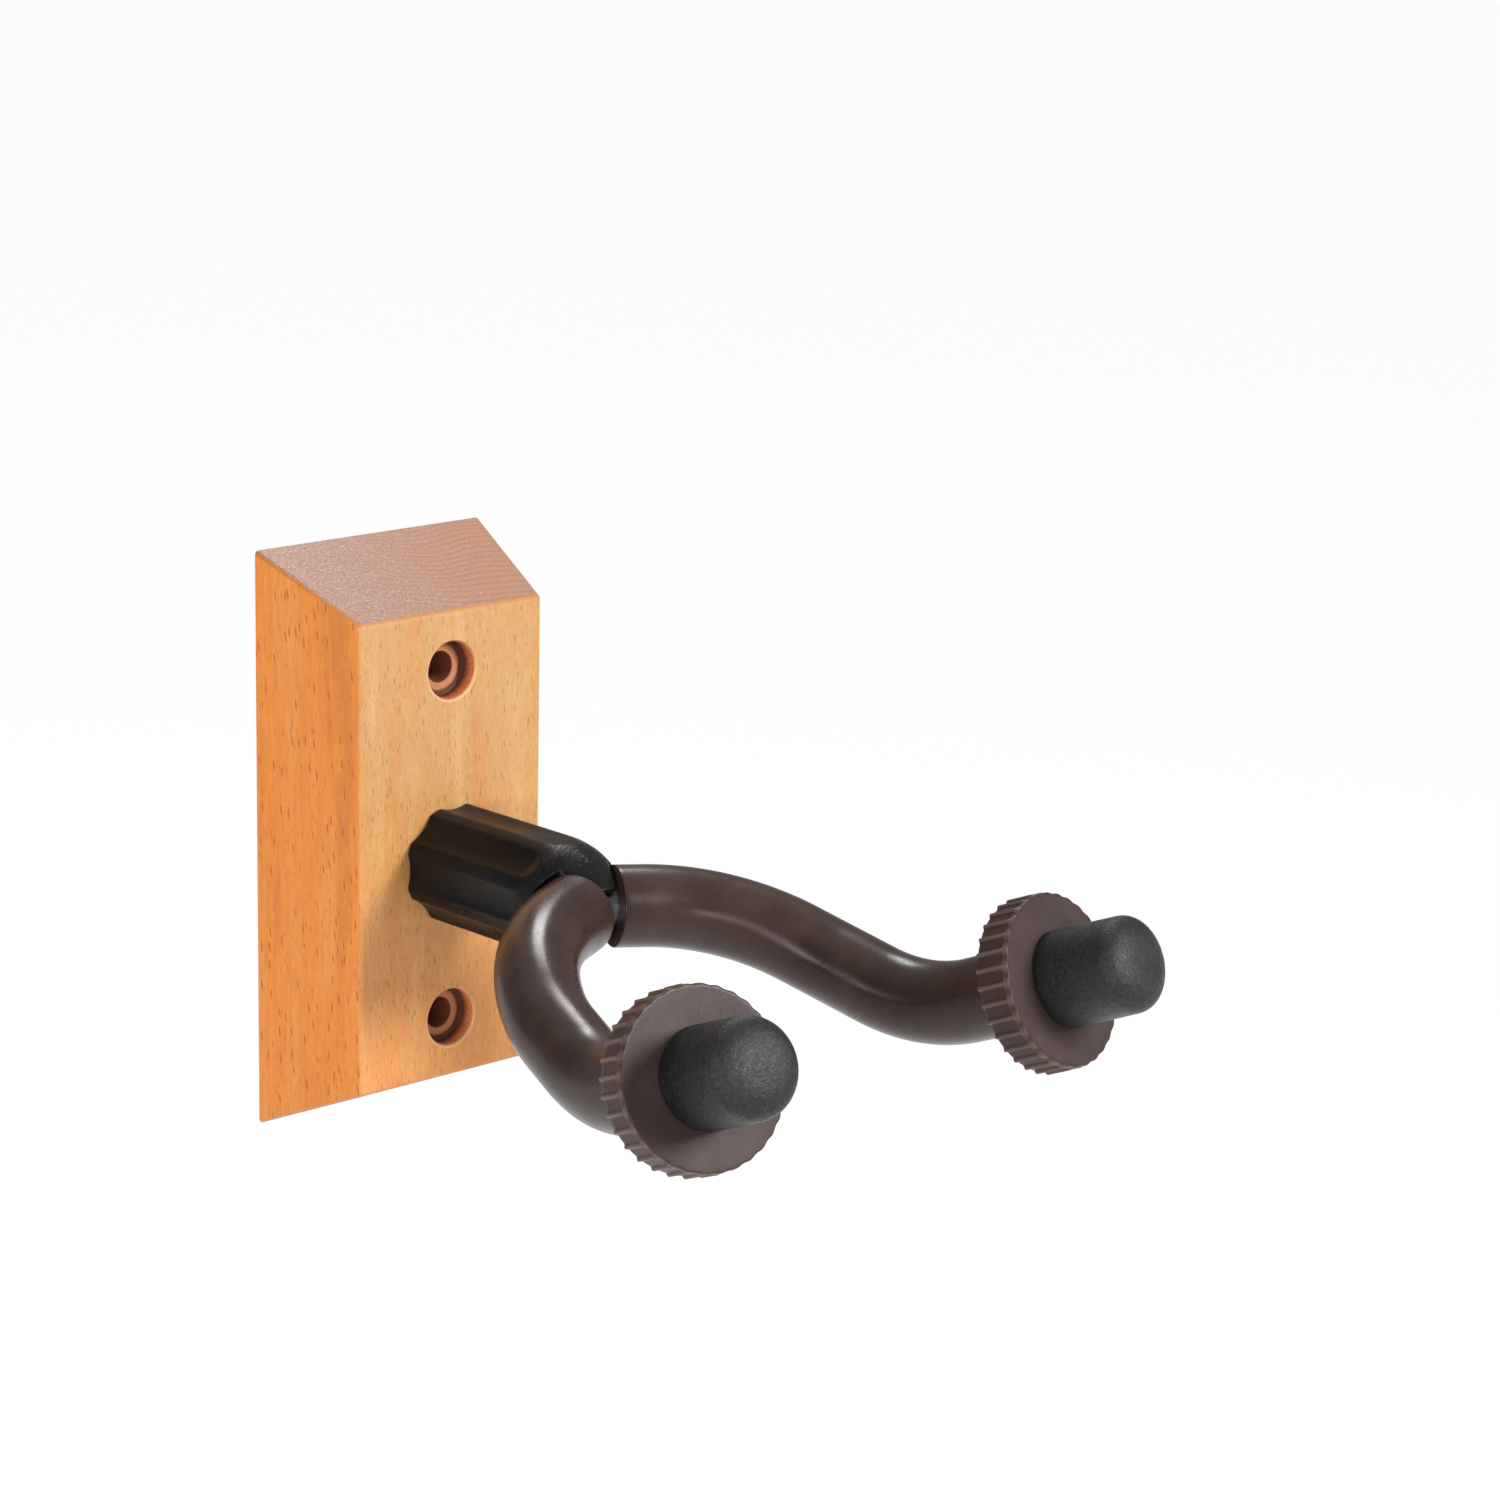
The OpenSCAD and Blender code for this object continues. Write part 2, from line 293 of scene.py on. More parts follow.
def on_neck(points):
    """Local +Z runs from the wall into the room along the swivel axis."""
    p = np.asarray(points, float)
    return np.stack((p[..., 0], -p[..., 2], p[..., 1] + NECK_Z), -1)


def solved(obj, modifier_setup):
    """Applies the modifiers that modifier_setup adds, by reading the evaluated mesh."""
    modifier_setup(obj)
    bpy.context.view_layer.update()
    graph = bpy.context.evaluated_depsgraph_get()
    mesh = bpy.data.meshes.new_from_object(obj.evaluated_get(graph))
    obj.modifiers.clear()
    old = obj.data
    obj.data = mesh
    bpy.data.meshes.remove(old)
    return obj


def cut(obj, cutter):
    def setup(o):
        m = o.modifiers.new("cut", "BOOLEAN")
        m.operation, m.solver, m.object = "DIFFERENCE", "EXACT", cutter

    solved(obj, setup)
    bpy.data.objects.remove(cutter)
    return obj


def settle(obj, sharp=30.0, flat_above=None):
    """Smooth shading with sharp edges by angle; faces larger than flat_above stay flat."""
    bm = bmesh.new()
    bm.from_mesh(obj.data)
    bmesh.ops.remove_doubles(bm, verts=bm.verts, dist=1e-7)
    for f in bm.faces:
        f.smooth = flat_above is None or f.calc_area() < flat_above
    for e in bm.edges:
        if len(e.link_faces) == 2:
            e.smooth = e.calc_face_angle(0.0) < math.radians(sharp)
    bm.to_mesh(obj.data)
    bm.free()
    return obj


def piece(obj, body, material_slot, *nodes):
    """The piece moves with its body and stands for its nodes; material_slot is not used."""
    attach(obj, body)
    if nodes:
        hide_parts(*nodes)
    return obj


# ---------------------------------------------------------------- arm route

HUB = (0.0, -71.7, 0.0)
SHOULDER = (27.2, -83.5, -1.9)
MIDDLE = (36.5, -102.5, -10.1)
TIP = (42.5, -127.2, -17.2)
DISC = (46.7, -151.9, -7.0)


def corner(point):
    return np.array(point) * MM + np.array((0.0, 0.0, NECK_Z))


def arm_axis():
    """Back face centre and outward direction of the right arm's end disc."""
    return corner(DISC), unit(np.array(DISC) - np.array(TIP))


def bend_points(a, v, b, radius, step):
    """Points of the arc that rounds the corner v between a and b."""
    da, db = unit(a - v), unit(b - v)
    half = math.acos(max(-1.0, min(1.0, float(da @ db)))) / 2
    sweep = math.pi - 2 * half
    centre = v + unit(da + db) * radius / math.sin(half)
    back = radius / math.tan(half)
    s, e = v + da * back - centre, v + db * back - centre
    count = max(3, int(math.ceil(sweep * radius / step)))
    t = np.linspace(0, 1, count + 1)[:, None]
    return centre + (np.sin((1 - t) * sweep) * s + np.sin(t * sweep) * e) / math.sin(sweep)


def arm_route(end, step=0.0006):
    """Points of the right arm's centre line, from where the hub bend ends to the point end."""
    s = bpy.context.scene.hanger_arms
    v = [corner(p) for p in (HUB, SHOULDER, MIDDLE, TIP)] + [np.asarray(end, float)]
    back = v[1] * np.array((-1.0, 1.0, 1.0))
    hub = bend_points(back, v[0], v[1], s.hub_bend, step)
    points = [hub[-1]]
    for i, radius in ((1, s.shoulder_bend), (2, s.middle_bend), (3, s.tip_bend)):
        arc = bend_points(v[i - 1], v[i], v[i + 1], radius, step)
        gap = np.linalg.norm(arc[0] - points[-1])
        count = max(1, int(gap / step))
        start = points[-1]
        points.extend(start + (arc[0] - start) * k / count for k in range(1, count))
        points.extend(arc)
    start, count = points[-1], max(1, int(np.linalg.norm(v[4] - points[-1]) / step))
    points.extend(start + (v[4] - start) * k / count for k in range(1, count + 1))
    return np.array(points)


def frames_along(points):
    """Unit tangents and two steady side directions along a line of points."""
    t = np.gradient(points, axis=0)
    t /= np.linalg.norm(t, axis=1)[:, None]
    side = unit(np.cross(t[0], (0.0, 0.0, 1.0)))
    sides = []
    for d in t:
        side = unit(side - d * (side @ d))
        sides.append(side)
    sides = np.array(sides)
    return t, sides, np.cross(t, sides)


def tube_rows(points, tangents, sides, ups, outline, count=64):
    """Rings for an outline of (radius, index, shift): shift moves the ring along the line."""
    a = np.arange(count) * 2 * math.pi / count
    rows = []
    for r, i, shift in outline:
        c = points[i] + tangents[i] * shift
        rows.append(
            c + r * (np.cos(a)[:, None] * sides[i][None, :] + np.sin(a)[:, None] * ups[i][None, :])
        )
    return np.array(rows)


# ---------------------------------------------------------------- soft-edged solids


def smooth_max(a, b, k):
    h = np.clip(0.5 + 0.5 * (a - b) / k, 0.0, 1.0)
    return b + (a - b) * h + k * h * (1 - h)


def field_mesh(field, lo, hi, step):
    """Vertices and quads of the surface where field is zero, moved onto it along the gradient."""
    axes = [np.arange(lo[i], hi[i] + step, step) for i in range(3)]
    grid = np.stack(np.meshgrid(*axes, indexing="ij"), -1)
    value = field(grid)
    inside = value < 0
    cells = tuple(s - 1 for s in inside.shape)
    corners = [(i, j, k) for i in (0, 1) for j in (0, 1) for k in (0, 1)]

    def at(array, c):
        return array[tuple(slice(c[i], c[i] + cells[i]) for i in range(3))]

    held = sum(at(inside, c).astype(int) for c in corners)
    active = (held > 0) & (held < 8)
    number = -np.ones(cells, int)
    number[active] = np.arange(active.sum())
    total = np.zeros((int(active.sum()), 3))
    weight = np.zeros(int(active.sum()))
    for p in corners:
        for q in corners:
            if sum(q) == sum(p) + 1 and all(q[i] >= p[i] for i in range(3)):
                vp, vq = at(value, p)[active], at(value, q)[active]
                crossing = (vp < 0) != (vq < 0)
                t = np.where(crossing, vp / np.where(vp == vq, 1.0, vp - vq), 0.0)
                spot = np.array(p) + t[:, None] * (np.array(q) - np.array(p))
                total += spot * crossing[:, None]
                weight += crossing
    base = np.stack(np.nonzero(active), -1)
    verts = np.array(lo) + (base + total / weight[:, None]) * step
    faces = []
    for axis in range(3):
        u, v = [i for i in range(3) if i != axis]
        low = [slice(1, None)] * 3
        low[axis] = slice(0, -1)
        low = tuple(low)
        ahead = [slice(1, None)] * 3
        here, there = inside[low], inside[tuple(ahead)]
        spots = np.stack(np.nonzero(here != there), -1) + 1
        spots[:, axis] -= 1
        keep = np.all(spots < np.array(cells), axis=1)
        spots = spots[keep]
        quad = []
        for du, dv in ((0, 0), (1, 0), (1, 1), (0, 1)):
            c = spots.copy()
            c[:, u] -= du
            c[:, v] -= dv
            quad.append(number[c[:, 0], c[:, 1], c[:, 2]])
        quad = np.stack(quad, -1)
        faces.append(quad[np.all(quad >= 0, axis=1)])
    faces = np.concatenate(faces)
    e = step * 0.05
    for _ in range(4):
        f = field(verts)
        g = np.stack(
            [
                (field(verts + np.eye(3)[i] * e) - field(verts - np.eye(3)[i] * e)) / (2 * e)
                for i in range(3)
            ],
            -1,
        )
        move = g * (f / np.maximum((g * g).sum(-1), 0.05))[:, None]
        size = np.linalg.norm(move, axis=1)[:, None]
        verts = verts - move * np.minimum(1.0, 0.6 * step / np.maximum(size, 1e-12))
    return verts, faces.tolist()


# ---------------------------------------------------------------- materials


class Finish:
    """One node material, put together from short calls. Sockets take values or other sockets."""

    def __init__(self, name, colour=(0.5, 0.5, 0.5), **sockets):
        self.material = bpy.data.materials.new(name)
        self.material.use_nodes = True
        self.tree = self.material.node_tree
        self.tree.nodes.clear()
        self.count = 0
        out = self.node("ShaderNodeOutputMaterial")
        self.shader = self.node("ShaderNodeBsdfPrincipled")
        self.tree.links.new(self.shader.outputs[0], out.inputs[0])
        self.material.diffuse_color = (*colour, 1.0)
        self.set(base_color=colour, **sockets)
        self.place = self.scaled(
            self.node("ShaderNodeTexCoord").outputs["Object"], (1000.0, 1000.0, 1000.0)
        )

    def node(self, kind, **values):
        n = self.tree.nodes.new(kind)
        n.location = (-220 * (self.count % 12), -240 * (self.count // 12))
        self.count += 1
        for k, v in values.items():
            setattr(n, k, v)
        return n

    def put(self, socket, value):
        if isinstance(value, bpy.types.NodeSocket):
            self.tree.links.new(value, socket)
        elif isinstance(value, (tuple, list)) and socket.type == "RGBA":
            socket.default_value = (*value[:3], 1.0)
        else:
            socket.default_value = value

    def set(self, **sockets):
        for k, v in sockets.items():
            self.put(self.shader.inputs[k.replace("_", " ").title().replace("Ior", "IOR")], v)

    def scaled(self, vector, by):
        n = self.node("ShaderNodeVectorMath", operation="MULTIPLY")
        self.put(n.inputs[0], vector)
        self.put(n.inputs[1], by)
        return n.outputs[0]

    def moved(self, vector, by):
        n = self.node("ShaderNodeVectorMath", operation="ADD")
        self.put(n.inputs[0], vector)
        self.put(n.inputs[1], by)
        return n.outputs[0]

    def parts(self, vector):
        n = self.node("ShaderNodeSeparateXYZ")
        self.put(n.inputs[0], vector)
        return n.outputs[0], n.outputs[1], n.outputs[2]

    def dot(self, a, b):
        n = self.node("ShaderNodeVectorMath", operation="DOT_PRODUCT")
        self.put(n.inputs[0], a)
        self.put(n.inputs[1], a if b is None else tuple(b))
        return n.outputs["Value"]

    def maths(self, operation, a, b=0.0, clamp=False):
        n = self.node("ShaderNodeMath", operation=operation, use_clamp=clamp)
        self.put(n.inputs[0], a)
        self.put(n.inputs[1], b)
        return n.outputs[0]

    def noise(self, vector, scale=1.0, detail=2.0, rough=0.5, colour=False):
        n = self.node("ShaderNodeTexNoise")
        self.put(n.inputs["Vector"], vector)
        self.put(n.inputs["Scale"], scale)
        self.put(n.inputs["Detail"], detail)
        self.put(n.inputs["Roughness"], rough)
        return n.outputs["Color" if colour else "Fac"]

    def cells(self, vector, scale=1.0, spread=1.0):
        n = self.node("ShaderNodeTexVoronoi")
        self.put(n.inputs["Vector"], vector)
        self.put(n.inputs["Scale"], scale)
        self.put(n.inputs["Randomness"], spread)
        return n.outputs["Distance"]

    def span(self, value, low, high, to_low=0.0, to_high=1.0):
        n = self.node("ShaderNodeMapRange", interpolation_type="SMOOTHSTEP")
        for i, v in enumerate((value, low, high, to_low, to_high)):
            self.put(n.inputs[i], v)
        return n.outputs[0]

    def mix(self, share, a, b, blend="MIX"):
        n = self.node("ShaderNodeMix", data_type="RGBA", blend_type=blend)
        self.put(n.inputs[0], share)
        self.put(n.inputs[6], a)
        self.put(n.inputs[7], b)
        return n.outputs[2]

    def bump(self, height, distance, normal=None):
        n = self.node("ShaderNodeBump")
        self.put(n.inputs["Strength"], 1.0)
        self.put(n.inputs["Distance"], distance)
        self.put(n.inputs["Height"], height)
        if normal is not None:
            self.put(n.inputs["Normal"], normal)
        return n.outputs[0]


def beech(s):
    """Lacquered beech with its grain upright: streaks, short dark rays, and end grain on the bevels."""
    top, low, side = tuple(s.front_colour), tuple(s.low_colour), tuple(s.side_colour)
    ray, end_tone = tuple(s.fleck_colour), tuple(s.end_colour)
    m = Finish("lacquered_beech", top, coat_weight=0.06, coat_roughness=0.25, specular_ior_level=0.30)
    p = m.place
    x, y, z = m.parts(p)
    sway = m.noise(m.scaled(p, (0.022, 0.022, 0.006)), 1.0, 2.0, colour=True)
    q = m.moved(p, m.scaled(m.moved(sway, (-0.5, -0.5, -0.5)), (14.0, 14.0, 0.0)))
    streak = m.noise(m.scaled(q, (0.13, 0.13, 0.010)), 1.0, 5.0, 0.6)
    fine = m.noise(m.scaled(q, (1.3, 1.3, 0.075)), 1.0, 4.0, 0.65)
    hair = m.noise(m.scaled(p, (4.0, 4.0, 0.34)), 1.0, 3.0, 0.65)
    curl = m.noise(m.scaled(q, (0.55, 0.55, 0.17)), 1.0, 4.0, 0.6)
    # growth rings about a pith well outside the block
    qx, qy, _ = m.parts(q)
    dx, dy = m.maths("SUBTRACT", qx, 36.0), m.maths("SUBTRACT", qy, 110.0)
    r = m.maths("SQRT", m.maths("ADD", m.maths("MULTIPLY", dx, dx), m.maths("MULTIPLY", dy, dy)))
    ring = m.maths("FRACT", m.maths("MULTIPLY", r, 0.62))
    ring = m.maths("MULTIPLY", m.span(ring, 0.35, 0.95), m.span(ring, 1.0, 0.97, 0.0, 1.0))
    # rays: long thin cells that lean a little
    lean = m.node("ShaderNodeCombineXYZ")
    m.put(lean.inputs[0], m.maths("ADD", x, m.maths("MULTIPLY", z, 0.06)))
    m.put(lean.inputs[1], m.maths("SUBTRACT", y, m.maths("MULTIPLY", z, 0.10)))
    m.put(lean.inputs[2], z)
    bold = m.cells(m.scaled(lean.outputs[0], (0.80, 0.80, 0.155)), 1.0)
    slim = m.cells(m.moved(m.scaled(lean.outputs[0], (1.05, 1.05, 0.19)), (7.3, 2.1, 4.7)), 1.0)
    tiny = m.cells(m.moved(m.scaled(lean.outputs[0], (1.7, 1.7, 0.36)), (3.1, 8.2, 1.7)), 1.0)
    bold, slim = m.span(bold, 0.235, 0.135), m.span(slim, 0.23, 0.11)
    tiny = m.span(tiny, 0.24, 0.10)
    # which face this is, from the block's own normals
    nx, ny, nz = m.parts(m.node("ShaderNodeTexCoord").outputs["Normal"])
    ends = m.span(m.maths("ABSOLUTE", nz), 0.70, 0.88)
    sides = m.span(m.maths("ABSOLUTE", nx), 0.55, 0.95)
    front = m.mix(m.span(z, 34.0, -50.0), top, low)
    face = m.mix(sides, front, side)
    pale = m.mix(m.span(sides, 0.0, 1.0, 0.40, 0.24), face, (0.56, 0.36, 0.175))
    deep = m.mix(m.span(sides, 0.0, 1.0, 0.34, 0.75), face, (0.44, 0.130, 0.022))
    grain = m.mix(m.span(streak, 0.36, 0.50), deep, face)
    grain = m.mix(m.span(streak, 0.50, 0.70, 0.0, 0.8), grain, pale)
    grain = m.mix(m.span(curl, 0.36, 0.52, 0.34, 0.0), grain, deep)
    grain = m.mix(m.span(curl, 0.52, 0.66, 0.0, 0.30), grain, pale)
    grain = m.mix(m.maths("MULTIPLY", ring, 0.16), grain, deep)
    grain = m.mix(m.span(fine, 0.40, 0.60, 0.30, 0.0), grain, deep)
    ray = m.mix(sides, (0.13, 0.058, 0.013), ray)
    grain = m.mix(m.span(hair, 0.38, 0.56, 0.16, 0.0), grain, ray)
    grain = m.mix(m.maths("MULTIPLY", tiny, m.span(sides, 0.0, 1.0, 0.36, 0.18)), grain, ray)
    grain = m.mix(m.maths("MULTIPLY", slim, m.span(sides, 0.0, 1.0, 0.44, 0.40)), grain, ray)
    grain = m.mix(m.maths("MULTIPLY", bold, m.span(sides, 0.0, 1.0, 0.13, 0.80)), grain, ray)
    # end grain: pores, mottle and curved rings, warmer toward the right
    pore = m.cells(m.scaled(p, (1.9, 1.9, 1.9)), 1.0)
    mottle = m.noise(m.scaled(p, (2.0, 2.0, 2.0)), 1.0, 4.0, 0.75)
    cloud = m.noise(m.scaled(p, (0.12, 0.12, 0.12)), 1.0, 3.0, 0.6)
    end = m.mix(m.span(mottle, 0.36, 0.62), tuple(v * 0.60 for v in end_tone), end_tone)
    end = m.mix(m.span(mottle, 0.54, 0.70, 0.0, 0.70), end, (0.45, 0.33, 0.28))
    end = m.mix(m.span(pore, 0.32, 0.12, 0.0, 0.45), end, (0.14, 0.070, 0.048))
    warm = m.maths("MULTIPLY", m.span(x, -20.0, 26.0), m.span(cloud, 0.30, 0.60, 0.55, 1.0))
    end = m.mix(m.maths("MULTIPLY", warm, 0.80), end, (0.30, 0.132, 0.062))
    end = m.mix(m.maths("MULTIPLY", ring, m.span(x, -24.0, 20.0, 0.06, 0.38)), end, (0.17, 0.075, 0.035))
    wood = m.mix(ends, grain, end)
    # eased edges, burnished a deeper orange
    edge = m.maths("MULTIPLY", m.span(m.maths("ABSOLUTE", nz), 0.10, 0.36), m.span(ends, 0.9, 0.2))
    wood = m.mix(m.maths("MULTIPLY", edge, 0.60), wood, (0.36, 0.135, 0.032))
    # bare drilled walls inside the holes
    off = m.maths("SUBTRACT", m.maths("ABSOLUTE", z), s.hole_pitch * 500.0)
    away = m.maths(
        "SQRT", m.maths("ADD", m.maths("MULTIPLY", x, x), m.maths("MULTIPLY", off, off))
    )
    bored = m.maths("MULTIPLY", m.span(away, 6.40, 6.18), m.span(y, -27.8, -27.5))
    bored = m.maths("MULTIPLY", bored, m.span(y, -0.05, -0.4))
    tear = m.noise(m.scaled(p, (1.5, 3.5, 1.5)), 1.0, 3.0)
    inner = m.mix(m.span(tear, 0.36, 0.64), (0.42, 0.108, 0.036), (0.62, 0.205, 0.078))
    floor = m.span(m.maths("ABSOLUTE", ny), 0.5, 0.9)
    inner = m.mix(m.maths("MULTIPLY", floor, 0.85), inner, (0.32, 0.140, 0.066))
    # painted shade: the corner between wall and floor is darkened for the shadow that falls in the pocket
    painted_corner_shade = m.maths("MULTIPLY", m.span(away, 4.5, 5.3), m.span(y, -27.1, -24.2))
    inner = m.mix(m.maths("MULTIPLY", painted_corner_shade, 0.94), inner, (0.060, 0.016, 0.007))
    # painted shade: the through-hole's wall and the floor's edge round it are painted dark for the shade
    # deep in the hole
    inner = m.mix(m.span(away, 3.6, 3.3), inner, (0.16, 0.043, 0.018))
    # painted highlight: a thin light rim round each pocket's mouth, brightest along its lower edge
    mouth = m.maths("MULTIPLY", m.span(away, 6.15, 6.35), m.span(away, 6.95, 6.55))
    mouth = m.maths("MULTIPLY", mouth, m.span(y, -27.5, -27.9))
    above = m.maths("SUBTRACT", z, m.maths("MULTIPLY", m.maths("SIGN", z), s.hole_pitch * 500.0))
    mouth = m.maths("MULTIPLY", mouth, m.span(above, 5.0, -4.0, 0.15, 1.0))
    wood = m.mix(m.maths("MULTIPLY", mouth, 0.45), wood, (0.62, 0.42, 0.23))
    wood = m.mix(bored, wood, inner)
    tear = m.maths("MULTIPLY", bored, tear)
    gloss = m.span(fine, 0.3, 0.7, 0.46, 0.34)
    gloss = m.maths("ADD", gloss, m.maths("MULTIPLY", ends, 0.20))
    gloss = m.maths("ADD", gloss, m.maths("MULTIPLY", bored, 0.30), clamp=True)
    rays = m.maths("ADD", bold, slim)
    height = m.maths("SUBTRACT", m.maths("MULTIPLY", fine, 0.5), m.maths("MULTIPLY", rays, 0.5))
    height = m.maths("ADD", height, m.maths("MULTIPLY", m.maths("MULTIPLY", ends, mottle), 2.2))
    height = m.maths("ADD", height, m.maths("MULTIPLY", tear, 3.0))
    m.set(base_color=wood, roughness=gloss, normal=m.bump(height, 0.00005))
    return m.material


def moulded_black(s, mouth, run):
    """Black moulded plastic: flow marks, lighter ridges, fine drag lines round the lips."""
    c = tuple(s.plastic_colour)
    m = Finish("moulded_black", c, specular_ior_level=0.11)
    x, y, z = m.parts(m.place)
    flow = m.noise(m.scaled(m.place, (0.10, 0.03, 0.10)), 1.0, 4.0, 0.6)
    skin = m.noise(m.place, 3.4, 3.0, 0.6)
    specks = m.span(m.cells(m.place, 0.42), 0.060, 0.03)
    # distance and turn about the sleeve's own axis, the same on both sides
    here = m.node("ShaderNodeCombineXYZ")
    m.put(here.inputs[0], m.maths("ABSOLUTE", x))
    m.put(here.inputs[1], y)
    m.put(here.inputs[2], z)
    from_mouth = m.moved(here.outputs[0], tuple(-v / MM for v in mouth))
    one = unit(np.cross(run, (0.0, 0.0, 1.0)))
    two = np.cross(run, one)
    a, b = m.dot(from_mouth, one), m.dot(from_mouth, two)
    off = m.maths("SQRT", m.maths("ADD", m.maths("MULTIPLY", a, a), m.maths("MULTIPLY", b, b)))
    turn = m.node("ShaderNodeCombineXYZ")
    m.put(turn.inputs[0], m.maths("MULTIPLY", m.maths("ARCTAN2", a, b), 16.0))
    m.put(turn.inputs[1], m.maths("MULTIPLY", off, 0.35))
    drag = m.noise(turn.outputs[0], 1.0, 3.0, 0.7)
    lip = m.maths("MULTIPLY", m.span(off, 9.0, 9.8), m.span(off, 14.5, 11.5))
    lip = m.maths("MULTIPLY", lip, m.span(y, -55.0, -60.0))
    axis = m.maths("SUBTRACT", z, NECK_Z / MM)
    r = m.maths("SQRT", m.maths("ADD", m.maths("MULTIPLY", x, x), m.maths("MULTIPLY", axis, axis)))
    ridge = m.maths("MULTIPLY", m.span(r, 12.55, 13.05), m.span(skin, 0.35, 0.60, 0.4, 1.0))
    tone = m.mix(m.span(flow, 0.35, 0.68), tuple(v * 0.70 for v in c), tuple(v * 1.5 for v in c))
    tone = m.mix(m.maths("MULTIPLY", ridge, 0.45), tone, (0.030, 0.026, 0.024))
    tone = m.mix(m.maths("MULTIPLY", specks, 0.35), tone, (0.11, 0.105, 0.10))
    rough = m.maths("ADD", m.span(flow, 0.3, 0.7, 0.24, 0.34), m.span(skin, 0.3, 0.7, 0.0, 0.06))
    rough = m.maths("ADD", rough, m.maths("MULTIPLY", lip, 0.08))
    bump = m.bump(m.maths("ADD", skin, m.maths("MULTIPLY", specks, 1.5)), 0.000012)
    bump = m.bump(m.maths("MULTIPLY", drag, lip), 0.00060, bump)
    m.set(base_color=tone, roughness=rough, normal=m.bump(flow, 0.00008, bump))
    return m.material


def brown_hose(s, name="brown_hose", tone_up=1.0, rough=0.23):
    """Extruded brown hose: satin, with faint die lines and small specks."""
    c = tuple(min(1.0, v * tone_up) for v in s.hose_colour)
    m = Finish(name, c, specular_ior_level=0.24)
    cloud = m.noise(m.place, 0.09, 4.0, 0.6)
    fleck = m.noise(m.place, 1.9, 3.0, 0.65)
    specks = m.span(m.cells(m.place, 0.50), 0.085, 0.05)
    tone = m.mix(m.span(cloud, 0.33, 0.68), tuple(v * 0.82 for v in c), tuple(v * 1.22 for v in c))
    tone = m.mix(m.span(fleck, 0.40, 0.64, 0.14, 0.0), tone, tuple(v * 0.60 for v in c))
    tone = m.mix(m.maths("MULTIPLY", specks, 0.15), tone, tuple(v * 0.35 for v in c))
    gloss = m.maths("ADD", m.span(cloud, 0.3, 0.7, rough - 0.02, rough + 0.05),
                    m.span(fleck, 0.3, 0.7, 0.0, 0.05))
    height = m.maths("SUBTRACT", m.maths("MULTIPLY", fleck, 0.22), m.maths("MULTIPLY", specks, 0.2))
    soft = m.bump(m.noise(m.place, 0.09, 0.0), 0.00012)
    m.set(base_color=tone, roughness=gloss, normal=m.bump(height, 0.000008, soft))
    return m.material


def brown_moulding(s):
    """Matt brown moulding of the end discs: painted highlight along the ribs' crests and painted shade on
    the rim's browner panels.
    """
    c = tuple(s.disc_colour)
    base, way = arm_axis()
    m = Finish("brown_moulding", c, specular_ior_level=0.11)
    x, y, z = m.parts(m.place)
    here = m.node("ShaderNodeCombineXYZ")
    m.put(here.inputs[0], m.maths("ABSOLUTE", x))
    m.put(here.inputs[1], y)
    m.put(here.inputs[2], z)
    local = m.moved(here.outputs[0], tuple(-v / MM for v in base))
    along = m.dot(local, way)
    off = m.maths("SQRT", m.maths("MAXIMUM", m.maths("SUBTRACT", m.dot(local, None),
                                                      m.maths("MULTIPLY", along, along)), 0.0))
    cloud = m.noise(m.place, 0.11, 3.0, 0.55)
    skin = m.noise(m.place, 2.6, 4.0, 0.7)
    rim = m.span(off, 16.6, 17.0)
    tone = m.mix(m.span(cloud, 0.33, 0.68), tuple(v * 0.86 for v in c), tuple(v * 1.14 for v in c))
    # painted shade: the rim's panels are painted browner and darker
    tone = m.mix(m.maths("MULTIPLY", rim, 0.60), tone, (c[0] * 0.92, c[1] * 0.74, c[2] * 0.66))
    tone = m.mix(m.span(skin, 0.36, 0.64, 0.20, 0.0), tone, tuple(v * 0.62 for v in c))
    # painted highlight: a light line along each rib's crest
    crest_highlight = m.maths("MULTIPLY", m.span(off, 17.30, 17.60), m.span(skin, 0.30, 0.55, 0.45, 1.0))
    tone = m.mix(m.maths("MULTIPLY", crest_highlight, 0.55), tone, (c[0] * 3.6, c[1] * 3.2, c[2] * 2.9))
    rough = m.span(skin, 0.3, 0.7, 0.42, 0.54)
    rough = m.maths("SUBTRACT", rough, m.maths("MULTIPLY", rim, 0.12))
    m.set(base_color=tone, roughness=rough, normal=m.bump(skin, 0.00002))
    return m.material


def black_rubber(s):
    """Black rubber with a powdery mottle, part dust and part painted sheen, and a grained skin."""
    c = tuple(s.cap_colour)
    m = Finish("black_rubber", c, specular_ior_level=0.28)
    cloud = m.noise(m.place, 0.22, 4.0, 0.6)
    skin = m.noise(m.place, 2.4, 4.0, 0.7)
    dust_and_sheen = m.noise(m.place, 1.25, 4.0, 0.75)
    tone = m.mix(m.span(cloud, 0.34, 0.68), tuple(v * 0.75 for v in c), tuple(v * 1.35 for v in c))
    # the lighter mottle is part dust and part painted sheen
    tone = m.mix(m.span(dust_and_sheen, 0.47, 0.64, 0.0, 0.34), tone, (0.034, 0.034, 0.035))
    rough = m.maths("ADD", m.span(skin, 0.3, 0.7, 0.33, 0.44), m.span(dust_and_sheen, 0.40, 0.62, 0.10, 0.0))
    grained = m.bump(skin, 0.00009)
    m.set(base_color=tone, roughness=rough, normal=m.bump(dust_and_sheen, 0.00013, grained))
    return m.material


